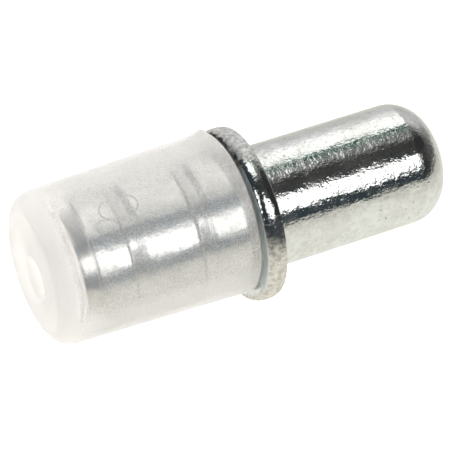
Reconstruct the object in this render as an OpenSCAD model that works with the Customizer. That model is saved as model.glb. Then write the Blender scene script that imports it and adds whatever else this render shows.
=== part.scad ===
// Shelf support pin with a push-on plastic sleeve.
//
// A cold-headed steel pin lies along X. Its plain spigot points to +X and goes into
// a hole in the side panel of a cabinet, its collar stops against the panel, and
// its grooved stud points to -X and carries a moulded sleeve that the shelf rests on.
// The origin is on the spigot's axis, in the collar's face on the panel side. +Z is up.
// All sizes are in millimetres.

/* [Spigot] */
// Diameter of the spigot, which fits the hole in the panel
spigot_d = 5; // [4:0.1:6]
// Length of the spigot, from the collar's face to the tip
spigot_len = 8.45; // [6:0.05:12]
// Radius of the rounded shoulder at the tip
tip_shoulder_r = 1.5; // [0.6:0.05:1.8]
// Radius of the shallow dome that closes the tip
tip_dome_r = 3.6; // [3.2:0.1:8]
// Radius of the fillet between the spigot and the collar
spigot_root_r = 0.12; // [0.05:0.01:0.3]

/* [Collar] */
// Diameter of the collar
collar_d = 7.15; // [6.85:0.05:9]
// Thickness of the collar
collar_t = 0.8; // [0.75:0.05:1.5]
// Length of the barrelled rim's crown, on the panel side
crown_len = 0.35; // [0.1:0.01:0.35]
// How far that crown draws in at the panel face
crown_drop = 0.07; // [0.02:0.01:0.08]
// Length of the rim's crown on the sleeve side
rim_sleeve_len = 0.4; // [0.1:0.01:0.4]
// How far that crown draws in at the sleeve side's face
rim_sleeve_drop = 0.13; // [0.04:0.01:0.2]

/* [Stud] */
// Diameter of the stud, and of the sleeve's bore that is stretched tight over it
stud_d = 4.9; // [4.4:0.05:5]
// Length of the stud, from the collar to its end
stud_len = 7.34; // [7:0.02:10]
// Length of the chamfer at the stud's end
stud_chamfer_len = 0.7; // [0.3:0.05:1]
// How far that chamfer draws in towards the axis
stud_chamfer_drop = 0.45; // [0.1:0.05:0.8]
// Radius of the fillet between the stud and the collar
stud_root_r = 0.1; // [0.05:0.01:0.12]

/* [Retaining grooves] */
// Number of grooves round the stud
groove_count = 2; // [1:1:2]
// Distance from the stud's end to the catch wall of the first groove
groove_first = 2.15; // [1.5:0.05:2.6]
// Distance from one groove to the next
groove_pitch = 2.9; // [2:0.05:3]
// Depth of a groove at its catch wall
groove_depth = 0.14; // [0.08:0.01:0.25]
// Length of the ramp that rises from the catch wall towards the collar
groove_ramp = 0.36; // [0.2:0.01:0.45]
// Length of the shallower run-out beyond the ramp
groove_runout = 0.32; // [0.2:0.01:0.45]
// Depth at which the ramp turns into the run-out
runout_depth = 0.04; // [0.02:0.01:0.06]

/* [Sleeve] */
// Outer diameter of the sleeve at its open mouth
mouth_d = 6.65; // [6.4:0.05:8]
// Outer diameter of the sleeve's taper at its closed end
end_d = 6.2; // [6.1:0.05:7.5]
// Thickness of the wall beyond the stud's end
end_wall = 1.06; // [0.6:0.02:2]
// Radius of the rounded edge at the closed end
end_edge_r = 0.85; // [0.2:0.05:1.4]
// Gap between the sleeve's mouth and the collar
mouth_gap = 0.15; // [0.13:0.01:0.5]
// Width of the lead-in chamfer at the mouth of the bore
bore_chamfer = 0.05; // [0.05:0.01:0.4]
// Diameter of the vent hole in the closed end
vent_d = 1.95; // [1:0.05:2.4]
// Distance of the outer wall's axis from the bore's axis
wall_shift = 0.25; // [0:0.01:0.3]
// Direction of that shift about X, in degrees from +Y towards +Z
wall_shift_angle = 50; // [0:5:355]

/* [Hidden] */
$fn = 96;

spigot_r = spigot_d / 2;
collar_r = collar_d / 2;
stud_r = stud_d / 2;
mouth_r = mouth_d / 2;
end_r = end_d / 2;

// Stations along X
stud_end_x = -collar_t - stud_len;
mouth_x = -collar_t - mouth_gap;
sleeve_end_x = stud_end_x - end_wall;
sleeve_len = mouth_x - sleeve_end_x;

// How far a cutting or joining shape reaches past the face that it meets
overlap = 0.05;

// Turns a profile about X. In a profile, x is the radius and y is the place along X.
module turned() {
    rotate([0, 90, 0])
        rotate_extrude()
            children();
}

// The sliver between a square corner at the origin and an arc that fills it.
// The solid is towards +x and +y, and turn gives another quarter.
module fillet(r, turn = 0) {
    rotate(turn)
        difference() {
            square(r);
            translate([r, r])
                circle(r);
        }
}

// ---- steel pin ----

// Plain cylinder with a rounded shoulder that runs into a shallow dome
module spigot_profile() {
    dome_y = spigot_len - tip_dome_r;
    shoulder_x = spigot_r - tip_shoulder_r;
    shoulder_y = dome_y + sqrt(pow(tip_dome_r - tip_shoulder_r, 2) - pow(shoulder_x, 2));
    // the dome's share is a wedge about its own centre, up to the common tangent
    reach = 2 * tip_dome_r / (shoulder_y - dome_y);
    translate([0, -collar_t / 2])
        square([spigot_r, shoulder_y + collar_t / 2]);
    translate([shoulder_x, shoulder_y])
        intersection() {
            circle(tip_shoulder_r);
            translate([-shoulder_x, 0])
                square([spigot_r, tip_shoulder_r]);
        }
    translate([0, dome_y])
        intersection() {
            circle(tip_dome_r);
            polygon([[0, 0], [shoulder_x * reach, 2 * tip_dome_r], [0, 2 * tip_dome_r]]);
        }
}

// The sliver outside a shallow crown that starts at the origin, runs a length along +y
// and draws in by a drop. The solid lies towards -x.
module crown(len, drop) {
    crown_r = (len * len + drop * drop) / (2 * drop);
    difference() {
        translate([-2 * drop, 0])
            square([2 * drop + overlap, len + overlap]);
        translate([-crown_r, 0])
            circle(crown_r);
    }
}

// Flat washer-like collar. Its upset rim is barrelled, more so on the sleeve side.
module collar_profile() {
    difference() {
        translate([0, -collar_t])
            square([collar_r, collar_t]);
        translate([collar_r, -crown_len])
            crown(crown_len, crown_drop);
        translate([collar_r, rim_sleeve_len - collar_t])
            mirror([0, 1])
                crown(rim_sleeve_len, rim_sleeve_drop);
    }
}

// One groove: a steep catch wall, a ramp towards the collar and a shallow run-out
module groove_profile() {
    polygon([
        [overlap, 0],
        [-groove_depth, 0],
        [-runout_depth, groove_ramp],
        [0, groove_ramp + groove_runout],
        [overlap, groove_ramp + groove_runout]
    ]);
}

// Stud with a chamfered end and the grooves that hold the sleeve
module stud_profile() {
    difference() {
        polygon([
            [0, stud_end_x],
            [stud_r - stud_chamfer_drop, stud_end_x],
            [stud_r, stud_end_x + stud_chamfer_len],
            [stud_r, -collar_t / 2],
            [0, -collar_t / 2]
        ]);
        for (i = [0 : groove_count - 1])
            translate([stud_r, stud_end_x + groove_first + i * groove_pitch])
                groove_profile();
    }
}

module pin() {
    color([0.74, 0.75, 0.74])
        turned() {
            spigot_profile();
            collar_profile();
            stud_profile();
            translate([spigot_r, 0])
                fillet(spigot_root_r);
            translate([stud_r, -collar_t])
                fillet(stud_root_r, -90);
        }
}

// ---- plastic sleeve ----

// Tapered wall with a rounded edge at its closed end
module wall_profile() {
    slope = (mouth_r - end_r) / sleeve_len;
    flank = sqrt(1 + slope * slope);
    edge_x = end_r + end_edge_r * (slope - flank);
    edge_y = sleeve_end_x + end_edge_r;
    translate([edge_x, edge_y])
        intersection() {
            circle(end_edge_r);
            translate([0, -end_edge_r])
                square([end_edge_r, 2 * end_edge_r]);
        }
    polygon([
        [0, sleeve_end_x],
        [edge_x, sleeve_end_x],
        [edge_x, edge_y],
        [edge_x + end_edge_r / flank, edge_y - end_edge_r * slope / flank],
        [mouth_r, mouth_x],
        [0, mouth_x]
    ]);
}

// Bore with a lead-in chamfer, and the vent hole beyond it
module bore_profile() {
    translate([0, stud_end_x])
        square([stud_r, mouth_x - stud_end_x + overlap]);
    translate([0, mouth_x - bore_chamfer])
        polygon([
            [0, 0],
            [stud_r, 0],
            [stud_r + bore_chamfer + overlap, bore_chamfer + overlap],
            [0, bore_chamfer + overlap]
        ]);
    translate([0, sleeve_end_x - overlap])
        square([vent_d / 2, end_wall + 2 * overlap]);
}

module sleeve() {
    color([0.86, 0.87, 0.85, 0.6])
        difference() {
            rotate([wall_shift_angle, 0, 0])
                translate([0, wall_shift, 0])
                    turned()
                        wall_profile();
            turned()
                bore_profile();
        }
}

pin();
sleeve();
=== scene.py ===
"""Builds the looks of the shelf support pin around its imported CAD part.

The pin is a cold-headed, zinc-plated steel turning with a spigot, a collar and a
grooved stud. The sleeve is a translucent moulding, pushed tight on the stud. Both are
revolved about X from profiles drawn by a pen, in metres, in the CAD part's own frame.
"""

import math

import bmesh
import bpy
from bpy.props import FloatProperty, FloatVectorProperty, IntProperty, PointerProperty
from mathutils import Matrix, Vector


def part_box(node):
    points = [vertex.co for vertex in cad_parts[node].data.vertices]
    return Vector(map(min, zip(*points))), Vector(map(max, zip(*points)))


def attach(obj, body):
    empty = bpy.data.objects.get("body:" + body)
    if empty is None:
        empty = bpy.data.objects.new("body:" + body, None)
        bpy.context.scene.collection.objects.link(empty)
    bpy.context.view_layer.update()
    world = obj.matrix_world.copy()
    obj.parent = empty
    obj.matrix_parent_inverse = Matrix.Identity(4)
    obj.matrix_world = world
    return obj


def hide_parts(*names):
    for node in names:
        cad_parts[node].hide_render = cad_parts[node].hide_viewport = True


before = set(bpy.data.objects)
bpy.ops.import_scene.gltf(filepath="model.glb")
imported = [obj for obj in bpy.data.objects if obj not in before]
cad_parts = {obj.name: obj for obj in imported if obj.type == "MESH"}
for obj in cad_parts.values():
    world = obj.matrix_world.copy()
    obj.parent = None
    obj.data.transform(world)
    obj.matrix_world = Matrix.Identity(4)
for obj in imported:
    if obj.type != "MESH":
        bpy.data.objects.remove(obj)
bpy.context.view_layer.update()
PIN_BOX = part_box("pin")
SLEEVE_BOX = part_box("sleeve")

bl_info = {
    "name": "Shelf support pin",
    "version": (1, 0, 0),
    "blender": (4, 5, 0),
    "location": "View3D > Sidebar > Shelf Pin",
    "description": "Makes a steel shelf support pin with its translucent sleeve and a studio",
    "category": "Add Mesh",
}

MM = 0.001
FULL_TURN = 2 * math.pi
ALONG_X = Vector((1, 0, 0))

# Stations along X and the collar's radius, in the frame
STUD_END = PIN_BOX[0].x
SPIGOT_TIP = PIN_BOX[1].x
COLLAR_RADIUS = PIN_BOX[1].z
SLEEVE_END = SLEEVE_BOX[0].x
SLEEVE_MOUTH = SLEEVE_BOX[1].x

# Material slots of the sleeve. The cap is thick and milky, and clears in three bands.
WALL, MATT, CUT, THICK, THINNER, THINNEST, BORE = range(7)


def length(name, description, default):
    return FloatProperty(
        name=name,
        description=description,
        default=default,
        min=0.0,
        precision=6,
        subtype="DISTANCE",
        unit="LENGTH",
    )


def colour(name, description, default):
    return FloatVectorProperty(
        name=name,
        description=description,
        default=default,
        min=0.0,
        max=1.0,
        size=3,
        subtype="COLOR",
    )


def factor(name, description, default, top=1.0, low=0.0):
    return FloatProperty(
        name=name,
        description=description,
        default=default,
        min=low,
        max=top,
        subtype="FACTOR",
    )


def power(name, description, default):
    return FloatProperty(
        name=name,
        description=description,
        default=default,
        min=0.0,
        unit="POWER",
    )


def lengths(name, description, default):
    """Several lengths that belong together, with their default in millimetres"""
    return FloatVectorProperty(
        name=name,
        description=description,
        default=[part * MM for part in default],
        size=len(default),
        precision=6,
        unit="LENGTH",
    )


def facets(description):
    return IntProperty(
        name="Segments",
        description=description,
        default=224,
        min=48,
        max=256,
    )


def angle(name, description, default):
    return FloatProperty(
        name=name,
        description=description,
        default=math.radians(default),
        subtype="ANGLE",
        unit="ROTATION",
    )


class PinSizes(bpy.types.PropertyGroup):
    """Sizes of the steel pin"""

    spigot_radius: length("Spigot radius", "Radius of the spigot in the panel", 2.5 * MM)
    tip_shoulder: length("Tip shoulder", "Radius of the rounded shoulder at the tip", 1.5 * MM)
    tip_dome: length("Tip dome", "Radius of the shallow dome that closes the tip", 3.6 * MM)
    spigot_root: length("Spigot root", "Fillet between the spigot and the collar", 0.12 * MM)
    collar_thick: length("Collar thickness", "Thickness of the collar", 0.8 * MM)
    crown_length: length("Crown length", "Crown of the rim on the panel side", 0.35 * MM)
    crown_drop: length("Crown drop", "How far the crown draws in", 0.07 * MM)
    rim_length: length("Rim length", "Crown of the rim on the sleeve side", 0.4 * MM)
    rim_drop: length("Rim drop", "How far that crown draws in", 0.13 * MM)
    rim_edge: length("Rim edge", "Rounding where that crown meets the face", 0.03 * MM)
    stud_radius: length("Stud radius", "Radius of the stud in the sleeve", 2.45 * MM)
    chamfer_length: length("Chamfer length", "Chamfer at the stud's end, along X", 0.7 * MM)
    chamfer_drop: length("Chamfer drop", "How far that chamfer draws in", 0.45 * MM)
    stud_root: length("Stud root", "Fillet between the stud and the collar", 0.1 * MM)
    groove_count: IntProperty(
        name="Grooves",
        description="Number of grooves round the stud",
        default=2,
        min=1,
        max=2,
    )
    groove_first: length("First groove", "Stud end to the first catch wall", 2.15 * MM)
    groove_pitch: length("Groove pitch", "One groove to the next", 2.9 * MM)
    groove_depth: length("Groove depth", "Depth of a groove at its catch wall", 0.14 * MM)
    groove_ramp: length("Groove ramp", "Length of the ramp from the catch wall", 0.36 * MM)
    groove_runout: length("Groove run-out", "Length of the shallower run-out", 0.32 * MM)
    runout_depth: length("Run-out depth", "Depth where the run-out starts", 0.04 * MM)
    soft_edge: length("Soft edge", "Rounding of the sharp edges", 0.02 * MM)
    segments: facets("Facets round the pin")


class SleeveSizes(bpy.types.PropertyGroup):
    """Sizes of the plastic sleeve"""

    mouth_radius: length("Mouth radius", "Outer radius at the open mouth", 3.325 * MM)
    end_radius: length("End radius", "Outer radius of the taper at the closed end", 3.1 * MM)
    end_edge: length("End edge", "Rounding of the closed end's edge", 0.85 * MM)
    bore_chamfer: length("Bore chamfer", "Lead-in chamfer of the bore", 0.05 * MM)
    vent_radius: length("Vent radius", "Radius of the vent hole", 0.975 * MM)
    wall_shift: length("Wall shift", "Outer wall's axis from the bore's axis", 0.25 * MM)
    shift_angle: angle("Shift direction", "Direction of that shift, from +Y towards +Z", 50)
    soft_edge: length("Soft edge", "Rounding of the sharp edges", 0.04 * MM)
    cap_length: length("Cap length", "Thick part of the cap", 0.72 * MM)
    cap_step: length("Cap step", "Length of each clearer band beyond it", 0.1 * MM)
    gate_place: lengths("Gate mark", "Middle of the gate mark", (-6.0, -0.98, 3.16))
    gate_radius: length("Gate radius", "Radius of each lobe of the mark", 0.4 * MM)
    gate_reach: lengths("Gate reach", "From the mark's middle to a lobe's", (0.38, 0.0, 0.01))
    flash_height: length("Flash height", "Height of the flash on the mouth", 0.14 * MM)
    flash_reach: length("Flash reach", "Length of wall that the flash grows on", 0.4 * MM)
    flash_angle: angle("Flash angle", "Flash above the front horizon, about X", 130)
    flash_spread: angle("Flash spread", "Half width of the flash about X", 11)
    grip: length("Grip", "How far the plastic presses into the steel", 0.01 * MM)
    segments: facets("Facets round the sleeve")


class FinishLooks(bpy.types.PropertyGroup):
    """Colours, roughness and clearness of the two finishes"""

    zinc: colour("Zinc", "Colour of the bright zinc plating", (0.80, 0.81, 0.79))
    zinc_stain: colour("Zinc stain", "Colour of the duller patches", (0.72, 0.72, 0.69))
    zinc_pit: colour("Zinc pit", "Colour in the pits", (0.30, 0.30, 0.28))
    zinc_frost: colour("Zinc frost", "Colour of the fine frosty grain", (0.56, 0.56, 0.53))
    zinc_rough: factor("Zinc roughness", "Roughness of the plating", 0.1)
    stain_rough: factor("Stain roughness", "Roughness of the duller patches", 0.18)
    rim_rough: factor("Rim roughness", "Roughness of the collar's dull rim", 0.42)
    rim_pale: colour("Rim pale", "Paler colour of the collar's dull rim", (0.80, 0.77, 0.71))
    rim_dark: colour("Rim dark", "Darker colour of the collar's dull rim", (0.52, 0.50, 0.46))
    # Painted light: the dull rim is painted paler over the top
    rim_top_painted_light: colour("Rim top", "Paler colour at the top of the rim", (0.86, 0.86, 0.85))
    # Painted shade: the rim's band just below the rubbed sector is painted darker
    rim_painted_shade: colour("Rim grime", "Colour of the grime beside the rubbed part", (0.10, 0.11, 0.12))
    face_rough: factor("Face roughness", "Roughness of the collar's sleeve side", 0.5)
    face_pale: colour("Face pale", "Collar's sleeve side, in the open", (0.74, 0.80, 0.81))
    # Painted shade: the collar's sleeve side takes this colour from the front horizon upwards
    face_dark: colour("Face dark", "Collar's sleeve side, in the shade", (0.40, 0.45, 0.46))
    # Painted shadow: the mottled, nearly black crevice behind the sleeve's mouth stands in for the
    # gap's shadow
    crevice_shade_dark: colour("Dirt dark", "Darker dirt behind the sleeve's mouth", (0.04, 0.036, 0.03))
    crevice_shade_pale: colour("Dirt pale", "Paler dirt behind the sleeve's mouth", (0.24, 0.22, 0.19))
    chamfer_lean: factor("Chamfer lean", "How far the worn chamfer mirrors back", 0.125)
    plastic: colour("Plastic", "Colour of the milky plastic", (0.99, 0.965, 0.95))
    sheen: colour("Sheen", "Tint of the plastic's soft sheen", (1.0, 0.97, 0.94))
    plastic_ior: FloatProperty(
        name="Plastic IOR",
        description="How strongly the plastic bends light",
        default=1.5,
        min=1.0,
        max=3.0,
    )
    plastic_rough: factor("Plastic roughness", "Roughness of the plastic", 0.26)
    plastic_haze: factor("Plastic haze", "Threshold of the fine grit that blurs", 0.36)
    matt_rough: factor("Matt roughness", "Roughness of matt and cut faces", 0.5)
    bore_rough: factor("Bore roughness", "Roughness of the bore over the chamfer", 0.12)
    plastic_clear: factor("Clearness", "Share of the light that passes the wall", 0.85)
    cap_clear: factor("Cap clearness", "Share of the light that passes the cap", 0.61)
    matt_clear: factor("Matt clearness", "Share of the light that passes matt faces", 0.3)
    cut_clear: factor("Cut clearness", "Share of the light that passes cut faces", 0.9)


class StageLooks(bpy.types.PropertyGroup):
    """Camera, lamps and backdrop"""

    azimuth: angle("Azimuth", "Camera's turn about Z", -26.276)
    elevation: angle("Elevation", "Camera's height above the level", 40.272)
    distance: length("Distance", "Camera to the point aimed at", 105.6855 * MM)
    aim: lengths("Aim", "Point aimed at, right of the origin and above it", (-0.889, -0.544))
    lens: FloatProperty(
        name="Lens",
        description="Focal length in millimetres on a 36 mm sensor",
        default=212.16,
        min=1.0,
    )
    floor_drop: length("Floor drop", "Floor below the pin's axis", 30 * MM)
    floor_radius: length("Floor radius", "Radius of the floor", 0.75)
    lamp_tilt: angle("Lamp tilt", "Slope of both lamps, up towards the sleeve", -30)
    lamp_distance: length("Lamp distance", "Each lamp to the pin", 0.25)
    box_angle: angle("Softbox angle", "Softbox above the front horizon, about X", 38.5)
    box_side: factor("Softbox side", "Share of its direction along X", 0.24, low=-1.0)
    box_size: lengths("Softbox size", "Length and width of the softbox", (127, 107))
    box_power: power("Softbox power", "Power of the softbox", 0.1)
    side_angle: angle("Side box angle", "Side box above the front horizon, about X", 49)
    side_share: factor("Side box side", "Share of its direction along X", -0.58, low=-1.0)
    side_size: lengths("Side box size", "Length and width of the side box", (50, 115))
    side_power: power("Side box power", "Power of the side box", 0.0354)
    near_reach: length("Near reach", "Distance where the near floor ends", 30 * MM)
    far_start: length("Far start", "Distance where the far floor starts", 150 * MM)
    # Painted shade: what the metal mirrors of the floor darkens from the near floor to the far one
    floor_near: colour("Floor near", "What the metal mirrors of the near floor", (0.80, 0.79, 0.735))
    floor_far: colour("Floor far", "What the metal mirrors of the far floor", (0.61, 0.60, 0.56))
    floor_plain: colour("Floor plain", "The floor as it lights the pin", (1.0, 0.98, 0.935))
    floor_lift: factor("Floor lift", "Light that brings the floor up to white", 0.35)
    room_tint: colour("Room tint", "Tint of the room's even light", (0.98, 0.99, 0.99))
    room_level: factor("Room level", "Even light of the room", 1.1, 2.0)


# ---- profiles and revolved meshes ----


class ProfilePen:
    """Draws an open profile, with x along the axis and z as the radius"""

    def __init__(self, mesh, along, radius):
        self.mesh = mesh
        self.tip = mesh.verts.new((along, 0, radius))

    def line(self, along, radius, steps):
        """Draws a straight stroke in equal steps"""
        step = (Vector((along, 0, radius)) - self.tip.co) / steps
        for _ in range(steps):
            drawn = bmesh.ops.extrude_vert_indiv(self.mesh, verts=[self.tip])
            self.tip = drawn["verts"][0]
            self.tip.co += step

    def arc(self, along, radius, degrees, steps):
        """Swings the pen about a centre, from the axis' start over the top to its end"""
        drawn = bmesh.ops.spin(
            self.mesh,
            geom=[self.tip],
            cent=(along, 0, radius),
            axis=(0, 1, 0),
            dvec=(0, 0, 0),
            angle=math.radians(degrees),
            steps=steps,
            use_duplicate=False,
        )
        self.tip = [part for part in drawn["geom_last"] if isinstance(part, bmesh.types.BMVert)][0]


def turn_profile(mesh, verts, segments):
    """Spins a drawn profile once round X and returns every vertex of the shell"""
    known = set(mesh.verts) - set(verts)
    edges = {edge for vert in verts for edge in vert.link_edges}
    bmesh.ops.spin(
        mesh,
        geom=list(verts) + list(edges),
        cent=(0, 0, 0),
        axis=ALONG_X,
        dvec=(0, 0, 0),
        angle=FULL_TURN,
        steps=segments,
        use_merge=True,
        use_duplicate=False,
    )
    return [vert for vert in mesh.verts if vert not in known]


def finish_mesh(mesh, name, *materials):
    """Closes the poles, turns the faces outwards and makes the object"""
    bmesh.ops.remove_doubles(mesh, verts=mesh.verts, dist=0.0005 * MM)
    bmesh.ops.recalc_face_normals(mesh, faces=mesh.faces)
    open_edges = [edge for edge in mesh.edges if not edge.is_manifold]
    if open_edges:
        raise RuntimeError(f"{name} is not closed: {len(open_edges)} open edges")
    for face in mesh.faces:
        face.smooth = True
    data = bpy.data.meshes.new(name)
    mesh.to_mesh(data)
    mesh.free()
    for material in materials:
        data.materials.append(material)
    piece = bpy.data.objects.new(name, data)
    bpy.context.scene.collection.objects.link(piece)
    return piece


def stud_profile(pen, sizes):
    """Draws the stud's end, its chamfer and its grooves, up to the collar"""
    stud_r = sizes.stud_radius
    soft = sizes.soft_edge
    pen.line(STUD_END, stud_r - sizes.chamfer_drop - soft, 8)
    pen.line(STUD_END + soft, stud_r - sizes.chamfer_drop, 2)
    pen.line(STUD_END + sizes.chamfer_length, stud_r, 8)
    for groove in range(sizes.groove_count):
        catch_x = STUD_END + sizes.groove_first + groove * sizes.groove_pitch
        floor_r = stud_r - sizes.groove_depth
        ramp_x = catch_x + sizes.groove_ramp
        pen.line(catch_x - soft, stud_r, 16)
        pen.line(catch_x, stud_r - soft, 2)
        pen.line(catch_x, floor_r + soft, 2)
        pen.line(catch_x + soft, floor_r, 2)
        pen.line(ramp_x, stud_r - sizes.runout_depth, 5)
        pen.line(ramp_x + sizes.groove_runout, stud_r, 5)
    root_x = -sizes.collar_thick - sizes.stud_root
    pen.line(root_x, stud_r, 14)
    pen.arc(root_x, stud_r + sizes.stud_root, -90, 5)


def collar_profile(pen, sizes):
    """Draws the collar's two faces and the two crowns that make its barrelled rim"""
    back_x = -sizes.collar_thick
    soft = sizes.soft_edge
    pen.line(back_x, COLLAR_RADIUS - sizes.rim_drop - sizes.rim_edge, 12)
    rim_r = (sizes.rim_length**2 + sizes.rim_drop**2) / (2 * sizes.rim_drop)
    rim_turn = math.asin((sizes.rim_length - sizes.rim_edge) / rim_r)
    pen.line(back_x + sizes.rim_edge, COLLAR_RADIUS - rim_r * (1 - math.cos(rim_turn)), 3)
    pen.arc(back_x + sizes.rim_length, COLLAR_RADIUS - rim_r, math.degrees(rim_turn), 16)
    pen.line(-sizes.crown_length, COLLAR_RADIUS, 1)
    crown_r = (sizes.crown_length**2 + sizes.crown_drop**2) / (2 * sizes.crown_drop)
    crown_turn = math.degrees(math.asin((sizes.crown_length - soft) / crown_r))
    pen.arc(-sizes.crown_length, COLLAR_RADIUS - crown_r, crown_turn, 8)
    pen.line(0, pen.tip.co.z - soft, 2)


def spigot_profile(pen, sizes):
    """Draws the spigot's root fillet, its straight flank, its shoulder and its dome"""
    root_r = sizes.spigot_radius + sizes.spigot_root
    pen.line(0, root_r, 8)
    pen.arc(sizes.spigot_root, root_r, -90, 5)
    inner = sizes.tip_dome - sizes.tip_shoulder
    centre_r = sizes.spigot_radius - sizes.tip_shoulder
    dome_x = SPIGOT_TIP - sizes.tip_dome
    shoulder_x = dome_x + math.sqrt(inner * inner - centre_r * centre_r)
    blend = math.degrees(math.atan2(centre_r, shoulder_x - dome_x))
    pen.line(shoulder_x, sizes.spigot_radius, 110)
    pen.arc(shoulder_x, centre_r, 90 - blend, 26)
    pen.arc(dome_x, 0, blend, 18)


def pin_mesh(sizes):
    """Steel pin from the stud's end to the spigot's tip"""
    mesh = bmesh.new()
    pen = ProfilePen(mesh, STUD_END, 0)
    stud_profile(pen, sizes)
    collar_profile(pen, sizes)
    spigot_profile(pen, sizes)
    turn_profile(mesh, list(mesh.verts), sizes.segments)
    return mesh


def pull_flash(verts, sizes):
    """Draws a small tongue of flash out of the mouth's edge, over the collar"""
    for vert in verts:
        radius = math.hypot(vert.co.y, vert.co.z)
        turn = math.atan2(vert.co.z, -vert.co.y) - sizes.flash_angle
        near = 1 - (SLEEVE_MOUTH - vert.co.x) / sizes.flash_reach
        rim = min(1, (radius - sizes.mouth_radius) / (2 * sizes.soft_edge) + 1)
        if near < 0 or rim < 0:
            continue
        ragged = 0.85 + 0.15 * math.sin(31 * turn)
        pull = near * rim * ragged * math.exp(-((turn / sizes.flash_spread) ** 2))
        height = sizes.flash_height * pull
        vert.co.x += 0.9 * height
        vert.co.y *= 1 + height / radius
        vert.co.z *= 1 + height / radius


def outer_wall(mesh, sizes):
    """Tapered outer wall, on its own axis beside the pin's"""
    soft = sizes.soft_edge
    slope = (sizes.mouth_radius - sizes.end_radius) / (SLEEVE_MOUTH - SLEEVE_END)
    lean = math.degrees(math.atan(slope))
    edge_x = SLEEVE_END + sizes.end_edge
    edge_r = sizes.end_radius + sizes.end_edge * (slope - math.hypot(1, slope))
    pen = ProfilePen(mesh, SLEEVE_END, edge_r)
    pen.arc(edge_x, edge_r, 90 - lean, 20)
    pen.line(SLEEVE_MOUTH - soft, sizes.mouth_radius - soft * slope, 90)
    pen.line(SLEEVE_MOUTH, sizes.mouth_radius - soft, 3)
    pen.line(SLEEVE_MOUTH, sizes.mouth_radius - 4 * soft, 2)
    wall = turn_profile(mesh, list(mesh.verts), sizes.segments)
    pull_flash(wall, sizes)
    turn = Matrix.Rotation(sizes.shift_angle, 3, "X")
    bmesh.ops.translate(mesh, verts=wall, vec=turn @ Vector((0, sizes.wall_shift, 0)))


def bore_fit(sizes, pin):
    """Station of the bore's floor and radius of the bore, which grip the stud"""
    return STUD_END + sizes.grip, pin.stud_radius - sizes.grip


def bore_and_vent(mesh, sizes, pin):
    """Bore that grips the stud and fills its grooves, and the vent hole beyond it"""
    floor_x, bore_r = bore_fit(sizes, pin)
    soft = sizes.soft_edge
    known = set(mesh.verts)
    pen = ProfilePen(mesh, SLEEVE_MOUTH, bore_r + sizes.bore_chamfer)
    pen.line(SLEEVE_MOUTH - sizes.bore_chamfer, bore_r, 4)
    for groove in reversed(range(pin.groove_count)):
        catch_x = STUD_END + pin.groove_first + groove * pin.groove_pitch
        ramp_x = catch_x + pin.groove_ramp
        pen.line(ramp_x + pin.groove_runout, bore_r, 12)
        pen.line(ramp_x, bore_r - pin.runout_depth, 5)
        pen.line(catch_x + sizes.grip, bore_r - pin.groove_depth, 5)
        pen.line(catch_x - sizes.grip, bore_r, 3)
    pen.line(floor_x + soft, bore_r, 14)
    pen.line(floor_x, bore_r - soft, 2)
    pen.line(floor_x, sizes.vent_radius + soft, 6)
    pen.line(floor_x - soft, sizes.vent_radius, 2)
    pen.line(SLEEVE_END + soft, sizes.vent_radius, 8)
    pen.line(SLEEVE_END, sizes.vent_radius + soft, 3)
    drawn = [vert for vert in mesh.verts if vert not in known]
    turn_profile(mesh, drawn, sizes.segments)


def sleeve_mesh(sizes, pin):
    """Closed shell of the sleeve, with every face in its material slot"""
    mesh = bmesh.new()
    outer_wall(mesh, sizes)
    bore_and_vent(mesh, sizes, pin)
    for face_x in (SLEEVE_END, SLEEVE_MOUTH):
        rings = [
            link
            for link in mesh.edges
            if link.is_boundary and abs(link.verts[0].co.x - face_x) < sizes.soft_edge / 4
        ]
        bmesh.ops.bridge_loops(mesh, edges=rings)
    for face in mesh.faces:
        face.material_index = sleeve_slot(face.calc_center_median(), sizes, pin)
    return mesh


def sleeve_slot(middle, sizes, pin):
    """Material slot of the sleeve's face with that middle"""
    floor_x, bore_r = bore_fit(sizes, pin)
    soft = sizes.soft_edge
    radius = math.hypot(middle.y, middle.z)
    bore_floor = radius < bore_r and abs(middle.x - floor_x) < soft
    flash_x = SLEEVE_MOUTH - sizes.flash_reach / 4
    flash = middle.x > flash_x and radius > sizes.mouth_radius + sizes.wall_shift
    if bore_floor or flash:
        return MATT
    vent_wall = radius < sizes.vent_radius + soft and middle.x > SLEEVE_END + soft
    if vent_wall or middle.x > SLEEVE_MOUTH - soft / 4:
        return CUT
    over_chamfer = 0 < middle.x - floor_x < pin.chamfer_length
    if over_chamfer and abs(radius - bore_r) < soft:
        return BORE
    past_cap = middle.x - SLEEVE_END - sizes.cap_length
    band = max(0, math.ceil(past_cap / sizes.cap_step))
    return THICK + band if THICK + band <= THINNEST else WALL


# ---- node trees ----


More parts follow.
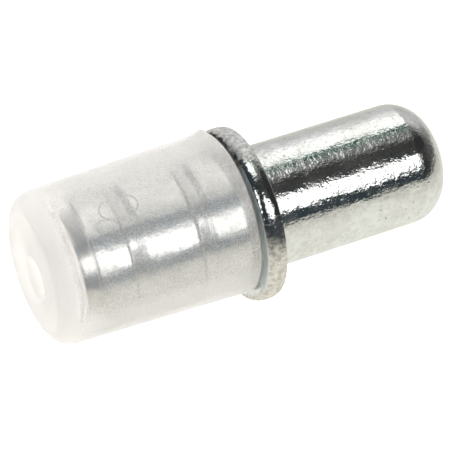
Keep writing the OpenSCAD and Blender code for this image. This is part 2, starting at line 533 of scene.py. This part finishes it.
class Tree:
    """Short ways to add and join nodes"""

    def __init__(self, tree):
        self.tree = tree

    def node(self, kind, **settings):
        """Adds a node with its settings, and feeds those of its sockets named in inputs"""
        made = self.tree.nodes.new(kind)
        inputs = settings.pop("inputs", {})
        for name, value in settings.items():
            setattr(made, name, value)
        self.feed_all(made, inputs)
        return made

    def group(self, name, maker, inputs):
        """Outputs of a shared group, which is made at its first use"""
        shared = bpy.data.node_groups.get(name) or maker(name)
        return self.node("ShaderNodeGroup", node_tree=shared, inputs=inputs).outputs

    def feed(self, socket, value):
        """Links a socket to another one's output, or sets its value"""
        if isinstance(value, bpy.types.NodeSocket):
            self.tree.links.new(value, socket)
        elif socket.type == "RGBA":
            socket.default_value = (*value, 1.0)
        else:
            socket.default_value = value

    def feed_all(self, made, inputs):
        for name, value in inputs.items():
            self.feed(made.inputs[name], value)

    def math(self, operation, first, second=0.0, third=0.0):
        made = self.node("ShaderNodeMath", operation=operation)
        for socket, value in zip(made.inputs, (first, second, third)):
            self.feed(socket, value)
        return made.outputs[0]

    def product(self, mask, *others):
        for other in others:
            mask = self.math("MULTIPLY", mask, other)
        return mask

    def vector(self, operation, first, second=(0, 0, 0)):
        made = self.node("ShaderNodeVectorMath", operation=operation, inputs={0: first, 1: second})
        return made.outputs["Value" if operation in ("LENGTH", "DISTANCE") else "Vector"]

    def parts(self, place):
        """Outputs X, Y and Z of a vector"""
        return self.node("ShaderNodeSeparateXYZ", inputs={"Vector": place}).outputs

    def fade(self, value, start, end, low=0.0, high=1.0):
        """Smooth step from low at start to high at end"""
        made = self.node("ShaderNodeMapRange", interpolation_type="SMOOTHSTEP")
        for socket, given in zip(made.inputs, (value, start, end, low, high)):
            self.feed(socket, given)
        return made.outputs["Result"]

    def mix(self, share, first, second):
        made = self.node("ShaderNodeMix", data_type="RGBA")
        colours = [socket for socket in made.inputs if socket.type == "RGBA"]
        self.feed(made.inputs["Factor"], share)
        self.feed(colours[0], first)
        self.feed(colours[1], second)
        return [socket for socket in made.outputs if socket.type == "RGBA"][0]

    def ramp(self, value, stops):
        """Colour ramp from (place, colour) stops"""
        made = self.node("ShaderNodeValToRGB")
        stripes = made.color_ramp.elements
        while len(stripes) < len(stops):
            stripes.new(0.5)
        for stripe, (place, tint) in zip(stripes, stops):
            stripe.position = place
            stripe.color = (*tint, 1.0)
        self.feed(made.inputs["Fac"], value)
        return made.outputs["Color"]

    def noise(self, place, scale, detail=2.0, rough=0.5):
        made = self.node(
            "ShaderNodeTexNoise",
            inputs={"Vector": place, "Scale": scale, "Detail": detail, "Roughness": rough},
        )
        return made.outputs["Fac"]

    def bump(self, height):
        """Normal that a height gives, in thousandths of a millimetre"""
        made = self.node(
            "ShaderNodeBump",
            inputs={"Strength": 1.0, "Distance": MM / 1000, "Height": height},
        )
        return made.outputs["Normal"]


def new_group(name, inputs, outputs):
    """Node group that takes a Vector and the named inputs, and puts out the named values

    Returns its tree, the sockets that it is given and the sockets of its result.
    """
    group = bpy.data.node_groups.new(name, "ShaderNodeTree")
    for socket, default in {"Vector": Vector(), **inputs}.items():
        kind = "NodeSocketFloat" if isinstance(default, float) else "NodeSocketVector"
        made = group.interface.new_socket(socket, in_out="INPUT", socket_type=kind)
        made.default_value = default
    for socket in outputs:
        group.interface.new_socket(socket, in_out="OUTPUT", socket_type="NodeSocketFloat")
    tree = Tree(group)
    return tree, tree.node("NodeGroupInput").outputs, tree.node("NodeGroupOutput").inputs


def relief_group(name):
    """Low swells, fine grain and lines along X, as a height in thousandths of a millimetre"""
    inputs = {
        "Swell Scale": 1000.0,
        "Swell Height": 1.0,
        "Grain Scale": 5000.0,
        "Grain Height": 1.0,
        "Draw Height": 1.0,
    }
    tree, given, result = new_group(name, inputs, ["Height"])
    place = given["Vector"]
    swell = tree.noise(place, given["Swell Scale"], 2.0, 0.5)
    grain = tree.noise(place, given["Grain Scale"], 2.0, 0.6)
    drawn = tree.node("ShaderNodeMapping", inputs={"Vector": place, "Scale": (0.12, 1.0, 1.0)})
    lines = tree.noise(drawn.outputs["Vector"], given["Grain Scale"], 1.0, 0.5)
    height = tree.math("MULTIPLY", swell, given["Swell Height"])
    height = tree.math("MULTIPLY_ADD", grain, given["Grain Height"], height)
    height = tree.math("MULTIPLY_ADD", lines, given["Draw Height"], height)
    tree.feed(result["Height"], height)
    return tree.tree


def mottle_group(name):
    """Cloudy patches and sparse specks, as two masks"""
    inputs = {"Patch Scale": 800.0, "Speck Scale": 4000.0, "Speck Share": 0.1}
    tree, given, result = new_group(name, inputs, ["Patches", "Specks"])
    cloud = tree.noise(given["Vector"], given["Patch Scale"], 3.0, 0.6)
    tree.feed(result["Patches"], tree.fade(cloud, 0.38, 0.66))
    dots = tree.noise(given["Vector"], given["Speck Scale"], 1.0, 0.4)
    floor = tree.math("SUBTRACT", 0.78, given["Speck Share"])
    tree.feed(result["Specks"], tree.fade(dots, floor, tree.math("ADD", floor, 0.06)))
    return tree.tree


def hairline_group(name):
    """Sparse thin curved scratches, as one mask"""
    inputs = {"Curve Scale": 300.0, "Line Width": 0.004, "Share": 0.5}
    tree, given, result = new_group(name, inputs, ["Lines"])
    curve = tree.noise(given["Vector"], given["Curve Scale"], 1.0, 0.5)
    off_line = tree.math("ABSOLUTE", tree.math("SUBTRACT", curve, 0.5))
    line = tree.fade(off_line, given["Line Width"], 0.0)
    patch_scale = tree.math("MULTIPLY", given["Curve Scale"], 2.6)
    patch = tree.noise(given["Vector"], patch_scale, 1.0, 0.5)
    floor = tree.math("SUBTRACT", 0.75, tree.math("MULTIPLY", given["Share"], 0.5))
    kept = tree.fade(patch, floor, tree.math("ADD", floor, 0.06))
    tree.feed(result["Lines"], tree.math("MULTIPLY", line, kept))
    return tree.tree


def gate_group(name):
    """Thin raised outline of two lobes that the mould left on the wall, as one mask"""
    inputs = {
        "Middle": Vector(),
        "Reach": Vector(),
        "Radius": 0.4 * MM,
        "Line Width": 0.035 * MM,
    }
    tree, given, result = new_group(name, inputs, ["Lines"])
    lines = 0.0
    for side in ("SUBTRACT", "ADD"):
        centre = tree.vector(side, given["Middle"], given["Reach"])
        away = tree.vector("DISTANCE", given["Vector"], centre)
        off_line = tree.math("ABSOLUTE", tree.math("SUBTRACT", away, given["Radius"]))
        lines = tree.math("MAXIMUM", lines, tree.fade(off_line, given["Line Width"], 0.0))
    kept = tree.fade(tree.noise(given["Vector"], 1500.0), 0.36, 0.56)
    tree.feed(result["Lines"], tree.math("MULTIPLY", lines, kept))
    return tree.tree


def haze_group(name):
    """Roughness of plastic whose fine grit is dense on the cap and towards the limb

    Cap is the station where the cap ends, and Chamfer the one where the stud's chamfer
    does. Between them, what faces the eye is clearer.
    """
    inputs = {"Cap": 0.0, "Chamfer": 0.0, "Facing": 0.0, "Haze": 0.4, "Roughness": 0.2}
    tree, given, result = new_group(name, inputs, ["Roughness"])
    along = tree.parts(given["Vector"])["X"]
    past_cap = tree.math("SUBTRACT", along, given["Cap"])
    past_chamfer = tree.math("SUBTRACT", along, given["Chamfer"])
    hazy = tree.math(
        "MAXIMUM",
        tree.fade(past_cap, -0.17 * MM, 0.03 * MM, 0.8, given["Haze"]),
        tree.fade(given["Facing"], 0.15, 0.5, given["Haze"], 0.7),
    )
    clearer = tree.product(
        tree.fade(past_cap, 0.03 * MM, 0.18 * MM, 0.0, -0.3),
        tree.fade(given["Facing"], 0.3, 0.08),
        tree.fade(past_chamfer, -0.06 * MM, -0.18 * MM),
    )
    grit = tree.noise(given["Vector"], 60000.0, 0.0, 0.5)
    gritty = tree.math("LESS_THAN", grit, tree.math("ADD", hazy, clearer))
    tree.feed(result["Roughness"], tree.math("MULTIPLY_ADD", gritty, 0.45, given["Roughness"]))
    return tree.tree


def new_material(name):
    """Material of one surface. Returns it with its tree, surface and Object coordinates"""
    material = bpy.data.materials.new(name)
    material.use_nodes = True
    material.node_tree.nodes.clear()
    tree = Tree(material.node_tree)
    surface = tree.node("ShaderNodeBsdfPrincipled")
    output = tree.node("ShaderNodeOutputMaterial")
    tree.feed(output.inputs["Surface"], surface.outputs["BSDF"])
    place = tree.node("ShaderNodeTexCoord").outputs["Object"]
    return material, tree, surface, place


def around_x(tree, place):
    """Parts of a place, its vector square to the X axis and its distance from that axis"""
    parts = tree.parts(place)
    across = tree.node("ShaderNodeCombineXYZ", inputs={"Y": parts["Y"], "Z": parts["Z"]})
    return parts, across.outputs["Vector"], tree.vector("LENGTH", across.outputs["Vector"])


def angle_above_front(tree, parts):
    """Angle about X in radians, from the front horizon over the top"""
    return tree.math("ARCTAN2", parts["Z"], tree.math("MULTIPLY", parts["Y"], -1.0))


def collar_masks(tree, place, sizes):
    """Masks of the collar, whose rim is dull and pitted but for one rubbed sector. The masks for the
    rim's top, the band below the rubbed sector, the sleeve side's top and the crevice place painted
    light and painted shade.
    """
    parts, _, radius = around_x(tree, place)
    back_x = -sizes.collar_thick
    turn = angle_above_front(tree, parts)
    ragged = tree.math("MULTIPLY_ADD", tree.noise(place, 3500.0, 3.0, 0.6), 0.5, turn)
    below = tree.fade(ragged, 0.87, 0.80)
    above = tree.fade(ragged, 1.52, 1.60)
    on_rim = tree.fade(radius, COLLAR_RADIUS - 0.375 * MM, COLLAR_RADIUS - 0.225 * MM)
    creep = tree.noise(place, 4200.0, 3.0, 0.6)
    creep = tree.math("MULTIPLY_ADD", creep, 0.4 * MM, parts["X"])
    return {
        "rim": tree.product(on_rim, tree.math("MAXIMUM", below, above)),
        # Painted light: upper sector of the rim, painted paler
        "upper": above,
        # Painted shade: band of the rim below the rubbed sector, strongest next to it
        "painted_shade": tree.product(below, tree.fade(ragged, 0.35, 0.72)),
        "face": tree.product(
            tree.fade(parts["X"], back_x + 0.03 * MM, back_x + 0.01 * MM),
            tree.fade(radius, COLLAR_RADIUS - 0.675 * MM, COLLAR_RADIUS - 0.475 * MM),
            tree.fade(ragged, -0.35, -0.1),
        ),
        # Painted shade on the collar's sleeve side
        "shade": tree.fade(turn, 0.1, 0.9),
        # Painted shadow in the crevice behind the sleeve's mouth, over the top
        "crevice": tree.product(
            tree.fade(creep, back_x + 0.3 * MM, back_x + 0.2 * MM),
            tree.fade(radius, COLLAR_RADIUS - 0.475 * MM, COLLAR_RADIUS - 0.275 * MM),
            tree.fade(ragged, 1.38, 1.62),
        ),
    }


def soft_chamfer(tree, place, normal, sizes, lean):
    """Leans the normals of the stud's chamfer back, as its worn corners mirror"""
    parts, across, radius = around_x(tree, place)
    leant = tree.vector("ADD", tree.vector("NORMALIZE", across), (-lean, 0, 0))
    chamfer_x = STUD_END + sizes.chamfer_length
    inner_r = sizes.stud_radius - sizes.chamfer_drop
    on_chamfer = tree.product(
        tree.fade(parts["X"], chamfer_x + 0.11 * MM, chamfer_x + 0.08 * MM),
        tree.fade(radius, inner_r - 0.1 * MM, inner_r - 0.05 * MM),
    )
    mixed = tree.node("ShaderNodeMix", data_type="VECTOR", inputs={"Factor": on_chamfer})
    ends = [socket for socket in mixed.inputs if socket.type == "VECTOR" and socket.name in "AB"]
    tree.feed(ends[0], normal)
    tree.feed(ends[1], leant)
    return [socket for socket in mixed.outputs if socket.type == "VECTOR"][0]


def zinc_material(looks, sizes):
    """Bright mottled plating, dull and pitted on the collar, with painted light and painted shade on
    the collar and a painted shadow in the crevice behind the sleeve's mouth
    """
    material, tree, surface, place = new_material("zinc plated steel")
    mottle = tree.group(
        "mottle and specks",
        mottle_group,
        {"Vector": place, "Patch Scale": 900.0, "Speck Scale": 7000.0, "Speck Share": 0.06},
    )
    relief = tree.group(
        "fine relief",
        relief_group,
        {
            "Vector": place,
            "Swell Scale": 1300.0,
            "Swell Height": 24.0,
            "Grain Scale": 6500.0,
            "Grain Height": 13.0,
            "Draw Height": 5.0,
        },
    )
    collar = collar_masks(tree, place, sizes)
    base = tree.mix(mottle["Patches"], looks.zinc, looks.zinc_stain)
    frost = tree.fade(tree.noise(place, 3800.0, 4.0, 0.7), 0.42, 0.62, 0.0, 0.45)
    base = tree.mix(frost, base, looks.zinc_frost)
    base = tree.mix(mottle["Specks"], base, looks.zinc_pit)
    crust = tree.fade(tree.noise(place, 5200.0, 3.0, 0.65), 0.32, 0.62)
    # The crust is mottled, and over the top its paler tone is painted light
    crust = tree.mix(crust, looks.rim_dark, tree.mix(collar["upper"], looks.rim_pale, looks.rim_top_painted_light))
    # Painted shade: the crust darkens in the band below the rubbed sector
    crust = tree.mix(collar["painted_shade"], crust, looks.rim_painted_shade)
    base = tree.mix(collar["rim"], base, crust)
    # Painted shade: the sleeve side darkens from the front horizon upwards
    face = tree.mix(collar["shade"], looks.face_pale, looks.face_dark)
    base = tree.mix(collar["face"], base, face)
    # Painted shadow: the crevice behind the sleeve's mouth, mottled and nearly black
    crevice_shade = tree.fade(tree.noise(place, 3000.0, 3.0, 0.6), 0.45, 0.65)
    crevice_shade = tree.mix(crevice_shade, looks.crevice_shade_dark, looks.crevice_shade_pale)
    base = tree.mix(collar["crevice"], base, crevice_shade)
    rough = tree.fade(mottle["Patches"], 0, 1, looks.zinc_rough, looks.stain_rough)
    rough = tree.fade(collar["rim"], 0, 1, rough, looks.rim_rough)
    rough = tree.fade(collar["face"], 0, 1, rough, looks.face_rough)
    height = tree.math("MULTIPLY_ADD", mottle["Specks"], -1.5, relief["Height"])
    flakes = tree.fade(tree.noise(place, 4200.0, 2.0, 0.6), 0.35, 0.6, 0.0, 12.0)
    height = tree.math("MULTIPLY_ADD", flakes, collar["rim"], height)
    back_x = -sizes.collar_thick
    strength = tree.fade(tree.parts(place)["X"], back_x - 0.2 * MM, back_x, 0.4, 1.0)
    normal = tree.bump(tree.math("MULTIPLY", height, strength))
    inputs = {
        "Base Color": base,
        "Metallic": 1.0,
        "Roughness": rough,
        "Normal": soft_chamfer(tree, place, normal, sizes, looks.chamfer_lean),
    }
    tree.feed_all(surface, inputs)
    return material


def matt_plastic_material(looks, name, clear, rough):
    """Inner faces and cut faces, without the sheen and the marks of the outer ones"""
    material, tree, surface, place = new_material(name)
    relief = tree.group(
        "fine relief",
        relief_group,
        {
            "Vector": place,
            "Swell Scale": 900.0,
            "Swell Height": 6.0,
            "Grain Scale": 6000.0,
            "Grain Height": 3.0,
            "Draw Height": 0.5,
        },
    )
    cloud = tree.fade(tree.noise(place, 700.0, 2.0, 0.5), 0.4, 0.65)
    inputs = {
        "Base Color": tree.mix(cloud, looks.plastic, 0.96 * looks.plastic),
        "Roughness": rough,
        "IOR": looks.plastic_ior,
        "Transmission Weight": clear,
        "Normal": tree.bump(relief["Height"]),
    }
    tree.feed_all(surface, inputs)
    return material


def plastic_material(scene, name, clear):
    """Glossy outer faces, with haze, sheen, curved scratches and the gate mark"""
    looks = scene.finish_looks
    sizes = scene.sleeve_sizes
    material, tree, surface, place = new_material(name)
    mottle = tree.group(
        "mottle and specks",
        mottle_group,
        {"Vector": place, "Patch Scale": 500.0, "Speck Scale": 3000.0, "Speck Share": 0.02},
    )
    relief = tree.group(
        "fine relief",
        relief_group,
        {
            "Vector": place,
            "Swell Scale": 700.0,
            "Swell Height": 3.0,
            "Grain Scale": 5000.0,
            "Grain Height": 0.25,
            "Draw Height": 0.2,
        },
    )
    haze = tree.group(
        "grit haze",
        haze_group,
        {
            "Vector": place,
            "Cap": SLEEVE_END + sizes.cap_length,
            "Chamfer": STUD_END + scene.pin_sizes.chamfer_length,
            "Facing": tree.node("ShaderNodeLayerWeight", inputs={"Blend": 0.5}).outputs["Facing"],
            "Haze": looks.plastic_haze,
            "Roughness": looks.plastic_rough,
        },
    )
    gate = tree.group(
        "gate mark",
        gate_group,
        {
            "Vector": place,
            "Middle": sizes.gate_place,
            "Reach": sizes.gate_reach,
            "Radius": sizes.gate_radius,
        },
    )
    scratches = tree.group(
        "hairlines",
        hairline_group,
        {"Vector": place, "Curve Scale": 330.0, "Line Width": 0.005, "Share": 0.52},
    )
    height = tree.math("MULTIPLY_ADD", gate["Lines"], 32.0, relief["Height"])
    height = tree.math("MULTIPLY_ADD", scratches["Lines"], -5.0, height)
    inputs = {
        "Base Color": tree.mix(mottle["Patches"], looks.plastic, 0.97 * looks.plastic),
        "Roughness": haze["Roughness"],
        "IOR": looks.plastic_ior,
        "Transmission Weight": clear,
        "Sheen Weight": 1.0,
        "Sheen Roughness": 0.4,
        "Sheen Tint": looks.sheen,
        "Normal": tree.bump(height),
    }
    tree.feed_all(surface, inputs)
    return material


# ---- stage ----


def from_x(about_x, along_x):
    """Direction at an angle above the front horizon about X, with a share along X"""
    across = math.sqrt(1 - along_x * along_x)
    return Vector((along_x, -across * math.cos(about_x), across * math.sin(about_x)))


def stage_camera(looks):
    """Camera that looks from its azimuth and elevation at a point beside the origin"""
    flat = math.cos(looks.elevation)
    right = Vector((math.cos(looks.azimuth), math.sin(looks.azimuth), 0))
    back = Vector((flat * right.y, -flat * right.x, math.sin(looks.elevation)))
    up = back.cross(right)
    eye = looks.aim[0] * right + looks.aim[1] * up + looks.distance * back
    data = bpy.data.cameras.new("camera")
    data.lens = looks.lens
    data.sensor_width = 36.0
    data.clip_start = 1 * MM
    data.clip_end = 10.0
    camera = bpy.data.objects.new("camera", data)
    turn = Matrix((right, up, back)).transposed().to_4x4()
    camera.matrix_world = Matrix.Translation(eye) @ turn
    bpy.context.scene.collection.objects.link(camera)
    bpy.context.scene.camera = camera


def stage_lamp(name, away, size, watts, looks):
    """Area lamp that stands in that direction and shines at the origin"""
    data = bpy.data.lights.new(name, "AREA")
    data.shape = "RECTANGLE"
    data.size, data.size_y = size
    data.energy = watts
    lamp = bpy.data.objects.new(name, data)
    tilt = Matrix.Rotation(looks.lamp_tilt, 4, "Z")
    lamp.matrix_world = Matrix.Translation(away * looks.lamp_distance) @ aimed(away) @ tilt
    bpy.context.scene.collection.objects.link(lamp)


def aimed(away):
    """Turn of a lamp that stands in that direction and shines back at the origin"""
    side = (ALONG_X - away * away.x).normalized()
    return Matrix((side, away.cross(side), away)).transposed().to_4x4()


def grey(level):
    return (level, level, level)


def is_deep(tree, rays):
    """Mask of rays that have passed through plastic"""
    return tree.math("GREATER_THAN", rays["Transmission Depth"], 0.5)


def is_plain(tree, rays):
    """Mask of rays that nothing has mirrored"""
    return tree.math("LESS_THAN", rays["Glossy Depth"], 0.5)


def room_colours(tree, direction, rays):
    """What bright metal mirrors of the room

    Each wall has stops from the front horizon over the top, in degrees about X, and the
    walls follow each other along X. Seen through plastic, some have walls of their own.
    """
    parts = tree.parts(direction)
    along = parts["X"]
    about = tree.math("ABSOLUTE", angle_above_front(tree, parts))
    about = tree.math("DIVIDE", about, math.pi)
    lamp = grey(2.3)
    dusk = (0.03, 0.045, 0.055)
    dark = (0.03, 0.04, 0.05)
    blue = (0.0, 0.07, 0.12)

    def wall(*stops):
        return tree.ramp(about, [(degrees / 180, tint) for degrees, tint in stops])

    facing_end = wall(
        (0, (0.10, 0.14, 0.16)),
        (30, (0.05, 0.06, 0.07)),
        (88, dark),
        (140, (0.04, 0.05, 0.06)),
        (180, grey(0.6)),
    )
    beside_end = wall(
        (0, (0.02, 0.03, 0.035)),
        (20, (0.02, 0.03, 0.035)),
        (80, (0.025, 0.03, 0.035)),
        (86, dark),
        (140, (0.06, 0.08, 0.09)),
        (165, grey(0.5)),
        (180, (0.66, 0.66, 0.67)),
    )
    overhead = wall(
        (0, dusk),
        (24, dusk),
        (70, (0.03, 0.035, 0.035)),
        (82, (0.05, 0.07, 0.08)),
        (87, (1.7, 1.7, 1.67)),
        (105, (1.7, 1.7, 1.67)),
        (109, (0.08, 0.16, 0.17)),
        (114, (0.5, 0.55, 0.55)),
        (130, (0.62, 0.64, 0.65)),
        (180, (0.66, 0.66, 0.67)),
    )
    middle = wall(
        (0, dusk),
        (21.3, dusk),
        (22.8, lamp),
        (26, lamp),
        (27, dusk),
        (62, grey(0.05)),
        (80, (0.05, 0.047, 0.043)),
        (86, (0.23, 0.235, 0.23)),
        (100, (0.25, 0.28, 0.275)),
        (104, (0.01, 0.08, 0.055)),
        (111.5, (0.01, 0.09, 0.06)),
        (114, (1.3, 1.32, 1.3)),
        (128, (1.6, 1.6, 1.58)),
        (138, (1.45, 1.45, 1.43)),
        (148, grey(1.05)),
        (160, (0.78, 0.78, 0.79)),
        (180, (0.62, 0.62, 0.63)),
    )
    through_plastic = wall(
        (0, (0.03, 0.08, 0.12)),
        (24.3, blue),
        (25.3, lamp),
        (28, lamp),
        (29, blue),
        (47, blue),
        (48.5, lamp),
        (56, lamp),
        (59, blue),
        (82.5, blue),
        (90, (0.86, 0.88, 0.87)),
        (98, (1.12, 1.14, 1.12)),
        (103, (1.14, 1.16, 1.14)),
        (110, (1.26, 1.28, 1.26)),
        (114, (1.35, 1.36, 1.34)),
        (128, (1.4, 1.4, 1.38)),
        (148, (1.25, 1.25, 1.23)),
        (165, (1.2, 1.2, 1.19)),
        (180, (1.15, 1.15, 1.14)),
    )
    behind_end = wall(
        (0, (0.07, 0.12, 0.15)),
        (49, (0.07, 0.12, 0.15)),
        (50, lamp),
        (56, lamp),
        (59, (0.0, 0.02, 0.05)),
        (150, (0.0, 0.02, 0.05)),
        (170, (0.30, 0.34, 0.38)),
        (180, grey(0.8)),
    )
    near_tip = wall(
        (0, (0.05, 0.055, 0.06)),
        (12, (0.02, 0.022, 0.025)),
        (82, grey(0.025)),
        (98, (0.05, 0.055, 0.06)),
        (112, (0.40, 0.41, 0.41)),
        (125, grey(0.7)),
        (150, grey(0.6)),
        (180, grey(0.58)),
    )
    past_tip = wall(
        (0, grey(0.22)),
        (20, grey(0.09)),
        (70, grey(0.10)),
        (110, grey(0.17)),
        (180, grey(0.36)),
    )
    past_side_box = wall(
        (0, (0.10, 0.14, 0.16)),
        (30, (0.05, 0.06, 0.07)),
        (88, dark),
        (128, dark),
        (150, (0.4, 0.41, 0.42)),
        (180, (0.66, 0.66, 0.67)),
    )
    walls = tree.mix(tree.fade(along, -0.84, -0.76), facing_end, past_side_box)
    walls = tree.mix(tree.fade(along, -0.64, -0.58), walls, beside_end)
    walls = tree.mix(tree.fade(along, -0.26, -0.16), walls, overhead)
    walls = tree.mix(tree.fade(along, 0.27, 0.335), walls, middle)
    steps = tree.mix(0.6, walls, through_plastic)
    behind_end = tree.mix(tree.fade(along, -0.02, 0.04), steps, behind_end)
    through_plastic = tree.mix(tree.fade(along, 0.16, 0.22), behind_end, through_plastic)
    walls = tree.mix(is_deep(tree, rays), walls, through_plastic)
    walls = tree.mix(tree.fade(along, 0.45, 0.54), walls, near_tip)
    return tree.mix(tree.fade(along, 0.80, 0.96), walls, past_tip)


def stage_room(looks):
    """Room of even light, which mirrors see in its own colours and the camera sees white"""
    world = bpy.data.worlds.new("room")
    world.use_nodes = True
    world.node_tree.nodes.clear()
    tree = Tree(world.node_tree)
    direction = tree.node("ShaderNodeTexCoord").outputs["Generated"]
    rays = tree.node("ShaderNodeLightPath").outputs
    even = looks.room_level * looks.room_tint
    mirrored = tree.math("MAXIMUM", rays["Is Glossy Ray"], rays["Is Transmission Ray"])
    let_through = (1.12, 1.10, 1.06)
    shown = tree.mix(is_plain(tree, rays), room_colours(tree, direction, rays), let_through)
    seen = tree.mix(mirrored, even, shown)
    seen = tree.mix(rays["Is Camera Ray"], seen, grey(1.0))
    glow = tree.node("ShaderNodeBackground", inputs={"Color": seen, "Strength": 1.0})
    output = tree.node("ShaderNodeOutputWorld")
    tree.feed(output.inputs["Surface"], glow.outputs["Background"])
    bpy.context.scene.world = world


def stage_floor(looks):
    """Pale floor, white to the camera, which the metal and the plastic see in their own tints. These
    carry painted shade, darker farther off and through the plastic, and a painted glow under and
    behind the pin, seen through the plastic.
    """
    mesh = bmesh.new()
    bmesh.ops.create_circle(mesh, cap_ends=True, segments=96, radius=looks.floor_radius)
    bmesh.ops.translate(mesh, verts=mesh.verts, vec=(0, 0, -looks.floor_drop))
    data = bpy.data.meshes.new("floor")
    mesh.to_mesh(data)
    mesh.free()
    material, tree, surface, place = new_material("pale floor")
    rays = tree.node("ShaderNodeLightPath").outputs
    # Painted shade: the mirrored floor darkens farther from the pin
    far = tree.fade(tree.vector("LENGTH", place), looks.near_reach, looks.far_start)
    tint = tree.mix(far, looks.floor_near, looks.floor_far)
    deep = is_deep(tree, rays)
    # Painted shade: the floor seen through the plastic is painted darker
    painted_floor_shade = (0.35, 0.34, 0.32)
    tint = tree.mix(tree.math("MULTIPLY", deep, 0.2), tint, painted_floor_shade)
    # Painted light: under and behind the pin, the floor seen through the plastic is pale and glows
    behind = tree.fade(tree.parts(place)["Y"], -28 * MM, -4 * MM)
    painted_glow_behind = tree.product(deep, behind)
    tint = tree.mix(painted_glow_behind, tint, (1.0, 1.0, 0.97))
    tint = tree.mix(is_plain(tree, rays), tint, looks.floor_plain)
    lift = tree.math("MULTIPLY", rays["Is Camera Ray"], looks.floor_lift)
    inputs = {
        "Base Color": tree.mix(rays["Is Camera Ray"], tint, grey(1.0)),
        "Roughness": 0.9,
        "Specular IOR Level": 0.0,
        "Emission Color": grey(1.0),
        "Emission Strength": tree.math("MULTIPLY_ADD", painted_glow_behind, 0.3, lift),
    }
    tree.feed_all(surface, inputs)
    data.materials.append(material)
    floor = bpy.data.objects.new("floor", data)
    bpy.context.scene.collection.objects.link(floor)


# ---- operators ----


class MakeSteelPin(bpy.types.Operator):
    """Turns the zinc-plated steel pin"""

    bl_idname = "mesh.make_steel_pin"
    bl_label = "Make Steel Pin"
    bl_options = {"REGISTER", "UNDO"}

    def execute(self, context):
        scene = context.scene
        zinc = zinc_material(scene.finish_looks, scene.pin_sizes)
        piece = finish_mesh(pin_mesh(scene.pin_sizes), "steel_pin", zinc)
        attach(piece, "root")
        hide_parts("pin")
        return {"FINISHED"}


class MakePlasticSleeve(bpy.types.Operator):
    """Moulds the translucent sleeve on the stud"""

    bl_idname = "mesh.make_plastic_sleeve"
    bl_label = "Make Plastic Sleeve"
    bl_options = {"REGISTER", "UNDO"}

    def execute(self, context):
        scene = context.scene
        looks = scene.finish_looks
        clear_step = (looks.plastic_clear - looks.cap_clear) / 3
        thinner = looks.cap_clear + clear_step
        # in the order of the sleeve's slots
        materials = (
            plastic_material(scene, "translucent plastic", looks.plastic_clear),
            matt_plastic_material(looks, "matt plastic", looks.matt_clear, looks.matt_rough),
            matt_plastic_material(looks, "cut plastic", looks.cut_clear, looks.matt_rough),
            plastic_material(scene, "thick plastic", looks.cap_clear),
            plastic_material(scene, "thinner plastic", thinner),
            plastic_material(scene, "thinnest plastic", thinner + clear_step),
            matt_plastic_material(looks, "bore plastic", 1.0, looks.bore_rough),
        )
        mesh = sleeve_mesh(scene.sleeve_sizes, scene.pin_sizes)
        piece = finish_mesh(mesh, "plastic_sleeve", *materials)
        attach(piece, "root")
        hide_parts("sleeve")
        return {"FINISHED"}


class MakePinStage(bpy.types.Operator):
    """Sets up the camera, the two lamps, the room and the floor"""

    bl_idname = "scene.make_pin_stage"
    bl_label = "Make Stage"
    bl_options = {"REGISTER", "UNDO"}

    def execute(self, context):
        looks = context.scene.stage_looks
        stage_camera(looks)
        away = from_x(looks.box_angle, looks.box_side)
        stage_lamp("softbox", away, looks.box_size, looks.box_power, looks)
        away = from_x(looks.side_angle, looks.side_share)
        stage_lamp("side box", away, looks.side_size, looks.side_power, looks)
        stage_room(looks)
        stage_floor(looks)
        context.scene.view_settings.view_transform = "Standard"
        return {"FINISHED"}


class VIEW3D_PT_shelf_pin(bpy.types.Panel):
    """Lists the pieces and the stage"""

    bl_label = "Shelf Support Pin"
    bl_space_type = "VIEW_3D"
    bl_region_type = "UI"
    bl_category = "Shelf Pin"

    def draw(self, context):
        layout = self.layout
        groups = (
            (context.scene.pin_sizes, MakeSteelPin),
            (context.scene.sleeve_sizes, MakePlasticSleeve),
            (context.scene.finish_looks, None),
            (context.scene.stage_looks, MakePinStage),
        )
        for group, maker in groups:
            column = layout.box().column()
            for name in group.__annotations__:
                column.prop(group, name)
            if maker:
                column.operator(maker.bl_idname)


GROUPS = (
    ("pin_sizes", PinSizes),
    ("sleeve_sizes", SleeveSizes),
    ("finish_looks", FinishLooks),
    ("stage_looks", StageLooks),
)
CLASSES = (MakeSteelPin, MakePlasticSleeve, MakePinStage, VIEW3D_PT_shelf_pin)


def register():
    for name, group in GROUPS:
        bpy.utils.register_class(group)
        setattr(bpy.types.Scene, name, PointerProperty(type=group))
    for each in CLASSES:
        bpy.utils.register_class(each)


def unregister():
    for each in reversed(CLASSES):
        bpy.utils.unregister_class(each)
    for name, group in reversed(GROUPS):
        delattr(bpy.types.Scene, name)
        bpy.utils.unregister_class(group)


def main():
    register()
    bpy.ops.mesh.make_steel_pin()
    bpy.ops.mesh.make_plastic_sleeve()
    bpy.ops.scene.make_pin_stage()


if __name__ == "__main__":
    main()
